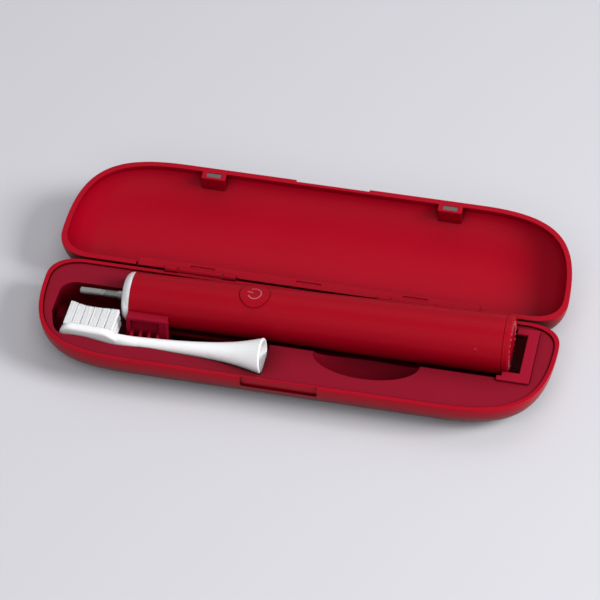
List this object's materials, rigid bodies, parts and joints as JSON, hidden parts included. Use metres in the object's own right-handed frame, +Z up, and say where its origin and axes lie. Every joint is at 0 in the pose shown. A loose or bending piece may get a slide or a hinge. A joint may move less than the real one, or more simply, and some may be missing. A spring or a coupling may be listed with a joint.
{
  "type": "toothbrush travel case",
  "caption": "Hinged hard travel case with a moulded tray, holding a cylindrical electric toothbrush handle with a power button and its separate brush head.",
  "frame": {"origin": "centre of the case's plan outline, on the surface that it stands on", "axes": "+X along the case towards the tail of the handle, +Y from the thumb notch to the hinge, +Z up"},
  "size_m": [0.218, 0.1151, 0.0322],
  "materials": {
    "case_plastic": "fine satin moulded red plastic",
    "tray_plastic": "fine eroded matt red plastic",
    "handle_plastic": "satin lacquered red plastic",
    "button_rubber": "soft red rubber",
    "white_plastic": "smooth white plastic",
    "bristle_nylon": "fine white nylon strands",
    "ring_aluminium": "satin turned aluminium",
    "steel": "ground stainless steel",
    "magnet": "dull nickel plate",
    "motor_steel": "zinc plated steel",
    "bearing_brass": "sintered bronze",
    "contact_brass": "plated spring brass",
    "cell_jacket": "plain shrink jacket",
    "board": "green solder mask",
    "inner_plastic": "black moulded plastic",
    "seal_rubber": "black rubber"
  },
  "bodies": {
    "base": {"base_shell": "case_plastic", "tray": "tray_plastic", "neck_saddle": "tray_plastic", "stop_frame": "tray_plastic", "catch_plates": "steel", "hinge_pins": "steel"},
    "lid": {"lid_shell": "case_plastic", "lid_magnets": "magnet"},
    "handle": {"handle_shell": "handle_plastic", "neck_ring": "ring_aluminium", "shaft_seal": "seal_rubber", "motor_can": "motor_steel", "motor_bearings": "bearing_brass", "motor_sleeves": "seal_rubber", "battery": "cell_jacket", "chassis": "inner_plastic", "contact_plate": "contact_brass", "circuit_board": "board", "board_screws": "steel", "switch_body": "inner_plastic", "button_seal": "button_rubber"},
    "shaft": {"drive_shaft": "steel", "rotor": "motor_steel"},
    "button": {"power_button": "handle_plastic"},
    "plunger": {"switch_plunger": "inner_plastic"},
    "cap": {"end_cap": "handle_plastic", "cap_seal": "seal_rubber", "cap_contact": "contact_brass"},
    "head": {"brush_head": "white_plastic", "head_socket": "steel", "bristles": "bristle_nylon"}
  },
  "joints": [
    {"name": "lid_hinge", "type": "hinge", "parent": "base", "child": "lid", "pos_m": [0, 0.0296, 0.01655], "axis": [1, 0, 0], "range_deg": [0, 170]},
    {"name": "handle_lift", "type": "slide", "parent": "base", "child": "handle", "axis": [0, 0, 1], "range_m": [0, 0.04]},
    {"name": "head_lift", "type": "slide", "parent": "base", "child": "head", "axis": [0, 0, 1], "range_m": [0, 0.04]},
    {"name": "button_press", "type": "slide", "parent": "handle", "child": "button", "axis": [0.014, 0.0524, -0.9985], "range_m": [0, 0.0005], "stiffness_N_per_m": 1000},
    {"name": "plunger_press", "type": "slide", "parent": "handle", "child": "plunger", "axis": [0.014, 0.0524, -0.9985], "range_m": [0, 0.0005]},
    {"name": "shaft_swing", "type": "hinge", "parent": "handle", "child": "shaft", "pos_m": [0, 0.0104, 0.0182], "axis": [0.9999, 0.007, 0.0144], "range_deg": [-6, 6]},
    {"name": "cap_turn", "type": "hinge", "parent": "handle", "child": "cap", "pos_m": [0, 0.0104, 0.0182], "axis": [0.9999, 0.007, 0.0144], "range_deg": [0, 60]}
  ],
  "couplings": [
    {"joint": "plunger_press", "follows": "button_press", "ratio": 1}
  ]
}
